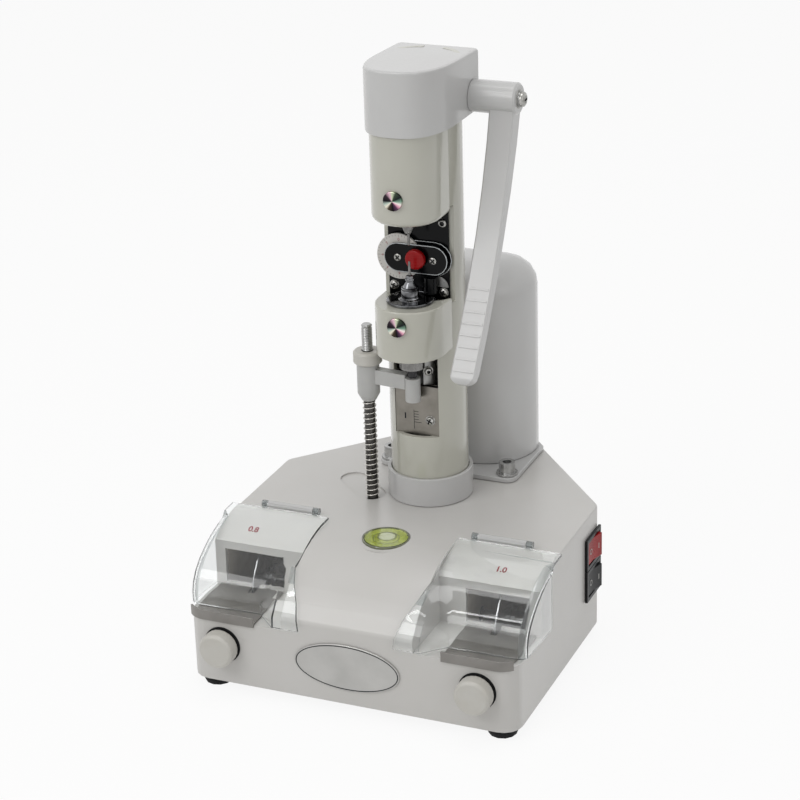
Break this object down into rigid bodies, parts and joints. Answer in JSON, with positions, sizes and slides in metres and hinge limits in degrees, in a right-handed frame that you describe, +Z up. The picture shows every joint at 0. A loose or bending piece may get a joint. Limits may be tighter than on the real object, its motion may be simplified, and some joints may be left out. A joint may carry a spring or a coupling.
{
  "type": "lens drilling machine",
  "caption": "Bench machine that drills and slots spectacle lenses: drill column with a feed lever over a base with two visored cutting stations.",
  "frame": {"origin": "centre of the bounding box in plan, on the surface the rubber feet stand on", "axes": "+Z up along the column; -Y to the operator; +X to the operator's right, the side of the lever and the switches"},
  "size_m": [0.2579, 0.2956, 0.437],
  "materials": {
    "white_casing": "glossy warm white moulded plastic",
    "cream_enamel": "glossy cream enamel",
    "white_plastic": "semi-gloss white plastic",
    "light_grey_paint": "light grey paint",
    "ivory_plastic": "ivory plastic",
    "steel": "bright steel",
    "dark_steel": "dark steel sheet",
    "disc_steel": "ground steel",
    "chrome": "polished chrome",
    "aluminium": "brushed aluminium",
    "motor_black": "black enamel",
    "core_steel": "varnished laminated core",
    "black_plastic": "black plastic",
    "black_plate": "black anodised plate",
    "red_plastic": "glossy red plastic",
    "rubber": "black rubber",
    "clear_plastic": "clear polycarbonate",
    "level_fluid": "yellow-green level fluid under a clear lens",
    "name_plate": "satin silver plate with a dark rim",
    "dial_white": "white dial"
  },
  "bodies": {
    "machine_body": {"base_shell": "white_casing", "base_plate": "steel", "name_plate": "name_plate", "level_vial": "level_fluid", "mains_inlet": "black_plastic", "rubber_foot_front_left": "rubber", "rubber_foot_front_right": "rubber", "rubber_foot_rear_left": "rubber", "rubber_foot_rear_right": "rubber", "red_switch_housing": "black_plastic", "black_switch_housing": "black_plastic", "column": "cream_enamel", "column_foot": "white_plastic", "foot_screw_left": "chrome", "foot_screw_right": "chrome", "rear_housing": "white_plastic", "transformer": "core_steel", "upper_head": "cream_enamel", "head_cap": "white_plastic", "head_screw_upper": "chrome", "head_screw_lower": "chrome", "lower_head": "cream_enamel", "lens_rest": "chrome", "back_plate": "black_plate", "gauge_frame": "black_plate", "quill_clamp": "aluminium", "scale_plate": "aluminium", "guide_rod": "steel", "rod_spring": "steel", "tray_left": "dark_steel", "splash_box_left": "dark_steel", "cutter_motor_left": "motor_black", "hinge_left": "white_plastic", "tray_right": "dark_steel", "splash_box_right": "dark_steel", "cutter_motor_right": "motor_black", "hinge_right": "white_plastic"},
    "lever": {"lever": "white_plastic", "lever_shaft": "steel"},
    "idler": {"idler_gear": "steel"},
    "upper_feed": {"feed_carriage": "aluminium", "upper_motor": "motor_black"},
    "upper_drill": {"upper_spindle": "steel"},
    "lower_feed": {"bracket": "light_grey_paint", "bracket_pin": "black_plastic", "lower_quill": "dark_steel"},
    "lower_drill": {"lower_spindle": "steel"},
    "stop_nut": {"stop_nut": "ivory_plastic"},
    "visor_left": {"visor_left": "clear_plastic"},
    "visor_right": {"visor_right": "clear_plastic"},
    "knob_left": {"knob_left": "ivory_plastic"},
    "knob_right": {"knob_right": "ivory_plastic"},
    "red_rocker": {"red_rocker": "red_plastic"},
    "black_rocker": {"black_rocker": "black_plastic"},
    "cutter_left": {"cutter_disc_left": "disc_steel", "cutter_arbor_left": "steel"},
    "cutter_right": {"cutter_disc_right": "disc_steel", "cutter_arbor_right": "steel"},
    "dial": {"dial_wheel": "dial_white"},
    "red_button": {"red_button": "red_plastic"}
  },
  "joints": [
    {"name": "lever_turn", "type": "hinge", "parent": "machine_body", "child": "lever", "pos_m": [0.05, 0.0455, 0.4033], "axis": [-1, 0, 0], "range_deg": [0, 60], "stiffness_Nm_per_rad": 0.25, "springref_deg": -22.92},
    {"name": "idler_turn", "type": "hinge", "parent": "machine_body", "child": "idler", "pos_m": [0, 0.0285, 0.4033], "axis": [-1, 0, 0], "range_deg": [-87, 1]},
    {"name": "upper_feed_slide", "type": "slide", "parent": "machine_body", "child": "upper_feed", "axis": [0, 0, -1], "range_m": [0, 0.0105]},
    {"name": "upper_drill_spin", "type": "hinge", "parent": "upper_feed", "child": "upper_drill", "pos_m": [0, -0.0035, 0.33], "axis": [0, 0, 1], "continuous": true},
    {"name": "lower_feed_slide", "type": "slide", "parent": "machine_body", "child": "lower_feed", "axis": [0, 0, -1], "range_m": [0, 0.008], "stiffness_N_per_m": 1280, "springref_m": -0.006, "deforming": ["rod_spring"]},
    {"name": "lower_drill_spin", "type": "hinge", "parent": "lower_feed", "child": "lower_drill", "pos_m": [0, -0.0035, 0.27], "axis": [0, 0, 1], "continuous": true},
    {"name": "stop_nut_turn", "type": "hinge", "parent": "machine_body", "child": "stop_nut", "pos_m": [-0.0363, 0, 0.2159], "axis": [0, 0, 1], "continuous": true},
    {"name": "red_rocker_tilt", "type": "hinge", "parent": "machine_body", "child": "red_rocker", "pos_m": [0.1221, 0.0265, 0.0758], "axis": [0, 0, 1], "range_deg": [0, 18]},
    {"name": "black_rocker_tilt", "type": "hinge", "parent": "machine_body", "child": "black_rocker", "pos_m": [0.1221, 0.0265, 0.0505], "axis": [0, 0, 1], "range_deg": [0, 18]},
    {"name": "dial_turn", "type": "hinge", "parent": "machine_body", "child": "dial", "pos_m": [-0.0134, 0.0106, 0.2915], "axis": [0, -1, 0], "continuous": true},
    {"name": "red_button_press", "type": "slide", "parent": "machine_body", "child": "red_button", "axis": [0, 1, 0], "range_m": [0, 0.0012], "stiffness_N_per_m": 300, "springref_m": -0.001},
    {"name": "visor_left_hinge", "type": "hinge", "parent": "machine_body", "child": "visor_left", "pos_m": [-0.0825, -0.0435, 0.1074], "axis": [-1, 0, 0], "range_deg": [0, 100]},
    {"name": "knob_left_turn", "type": "hinge", "parent": "machine_body", "child": "knob_left", "pos_m": [-0.0972, -0.1348, 0.0379], "axis": [0, -1, 0], "range_deg": [-135, 135]},
    {"name": "cutter_left_spin", "type": "hinge", "parent": "machine_body", "child": "cutter_left", "pos_m": [-0.0936, -0.0535, 0.052], "axis": [1, 0, 0], "continuous": true},
    {"name": "visor_right_hinge", "type": "hinge", "parent": "machine_body", "child": "visor_right", "pos_m": [0.0825, -0.0435, 0.1074], "axis": [-1, 0, 0], "range_deg": [0, 100]},
    {"name": "knob_right_turn", "type": "hinge", "parent": "machine_body", "child": "knob_right", "pos_m": [0.0972, -0.1348, 0.0379], "axis": [0, -1, 0], "range_deg": [-135, 135]},
    {"name": "cutter_right_spin", "type": "hinge", "parent": "machine_body", "child": "cutter_right", "pos_m": [0.0936, -0.0535, 0.052], "axis": [1, 0, 0], "continuous": true}
  ],
  "couplings": [
    {"joint": "upper_feed_slide", "follows": "lever_turn", "m_per_rad": 0.01},
    {"joint": "idler_turn", "follows": "lever_turn", "ratio": -1.4286}
  ]
}
